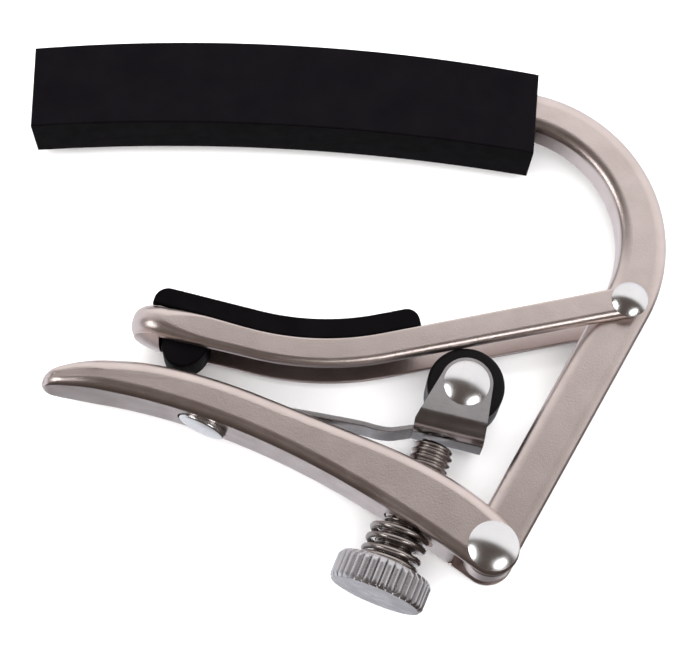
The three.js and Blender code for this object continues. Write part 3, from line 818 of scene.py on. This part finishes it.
floor_mesh = bpy.data.meshes.new("floor")
floor_mesh.from_pydata([(-3, -3, 0), (3, -3, 0), (3, 3, 0), (-3, 3, 0)], [], [(0, 1, 2, 3)])
floor = bpy.data.objects.new("floor", floor_mesh)
bpy.context.scene.collection.objects.link(floor)
paper, tree, shader = new_material("pale_paper")
shader.inputs["Base Color"].default_value = (0.93, 0.93, 0.93, 1)
shader.inputs["Roughness"].default_value = 0.9
shader.inputs["Specular IOR Level"].default_value = 0.1
floor_mesh.materials.append(paper)
floor.visible_glossy = False


def softbox(name, direction, distance, size, power, glossy=True):
    """An area light that faces the object from a direction (azimuth, elevation)."""
    a, e = math.radians(direction[0]), math.radians(direction[1])
    back = Vector((math.sin(a) * math.cos(e), -math.cos(a) * math.cos(e), math.sin(e)))
    data = bpy.data.lights.new(name, "AREA")
    data.shape = "ELLIPSE"
    data.size, data.size_y = size
    data.energy = power
    light = bpy.data.objects.new(name, data)
    light.location = Vector((0, 0, 0.006)) + back * distance
    light.rotation_mode = "QUATERNION"
    light.rotation_quaternion = (-back).to_track_quat("-Z", "Y")
    light.visible_glossy = glossy
    bpy.context.scene.collection.objects.link(light)


softbox("left_light", (-78, 33), 0.8, (0.5, 0.3), 1.35)
softbox("right_light", (33, 40), 0.8, (0.5, 0.3), 1.3)
softbox("fill", (0, 88), 1.0, (1.8, 1.8), 30.0, glossy=False)

# In reflections the studio is white behind, dark in front and has a pale table below; the backdrop
# itself is white.
world = bpy.data.worlds.new("studio")
world.use_nodes = True
tree = world.node_tree
background = tree.nodes["Background"]
coords = tree.nodes.new("ShaderNodeTexCoord")


def lobe(direction, start, end):
    node = tree.nodes.new("ShaderNodeVectorMath")
    node.operation = "DOT_PRODUCT"
    node.inputs[1].default_value = direction
    tree.links.new(coords.outputs["Generated"], node.inputs[0])
    step = tree.nodes.new("ShaderNodeMapRange")
    step.interpolation_type = "SMOOTHSTEP"
    step.inputs["From Min"].default_value = start
    step.inputs["From Max"].default_value = end
    tree.links.new(node.outputs["Value"], step.inputs["Value"])
    return step.outputs["Result"]


def blend_colour(factor, first, second):
    node = tree.nodes.new("ShaderNodeMix")
    node.data_type = "RGBA"
    for socket, value in (("A", first), ("B", second)):
        if isinstance(value, tuple):
            node.inputs[socket].default_value = value
        else:
            tree.links.new(value, node.inputs[socket])
    tree.links.new(factor, node.inputs["Factor"])
    return node.outputs["Result"]


DARK_ROOM, BRIGHT_ROOM = (0.09, 0.070, 0.060, 1), (1.06, 1.04, 1.04, 1)
DARK_TABLE, BRIGHT_TABLE = (0.07, 0.057, 0.052, 1), (0.90, 0.91, 0.97, 1)
WHITE = (1.0, 1.0, 1.0, 1)
behind = lobe((0.33, 0.907, -0.25), -0.06, 0.10)
sky = blend_colour(behind, DARK_ROOM, BRIGHT_ROOM)
below = lobe((0, 0, -1), 0.0, 0.05)
table = blend_colour(lobe((-0.3, 0.954, 0), -0.25, -0.16), DARK_TABLE, BRIGHT_TABLE)
rays = tree.nodes.new("ShaderNodeLightPath")
backdrop = blend_colour(rays.outputs["Is Camera Ray"], blend_colour(below, sky, table), WHITE)
tree.links.new(backdrop, background.inputs["Color"])
background.inputs["Strength"].default_value = 1.0
bpy.context.scene.world = world
bpy.context.scene.view_settings.view_transform = "Standard"
bpy.context.scene.view_settings.look = "None"

azimuth, elevation, roll = math.radians(-3.19), math.radians(72), math.radians(5.994)
distance = 0.216
SENSOR_MM, FRAME_PIXELS, FOCAL_PIXELS = 36, 698, 1856.8
back = Vector((math.sin(azimuth) * math.cos(elevation), -math.cos(azimuth) * math.cos(elevation),
               math.sin(elevation)))
right = (-back).cross(Vector((0, 0, 1))).normalized()
up = right.cross(-back)
rolled_right = right * math.cos(roll) + up * math.sin(roll)
rolled_up = up * math.cos(roll) - right * math.sin(roll)
camera_data = bpy.data.cameras.new("camera")
camera_data.sensor_width = SENSOR_MM
camera_data.lens = SENSOR_MM * FOCAL_PIXELS / FRAME_PIXELS
camera_data.clip_start, camera_data.clip_end = 0.01, 20
camera = bpy.data.objects.new("camera", camera_data)
target = PIVOT + Vector((-16.91, 25.93, 0)) * MM
rotation = Matrix((rolled_right, rolled_up, back)).transposed()
camera.matrix_world = Matrix.Translation(target + back * distance) @ rotation.to_4x4()
bpy.context.scene.collection.objects.link(camera)
bpy.context.scene.camera = camera
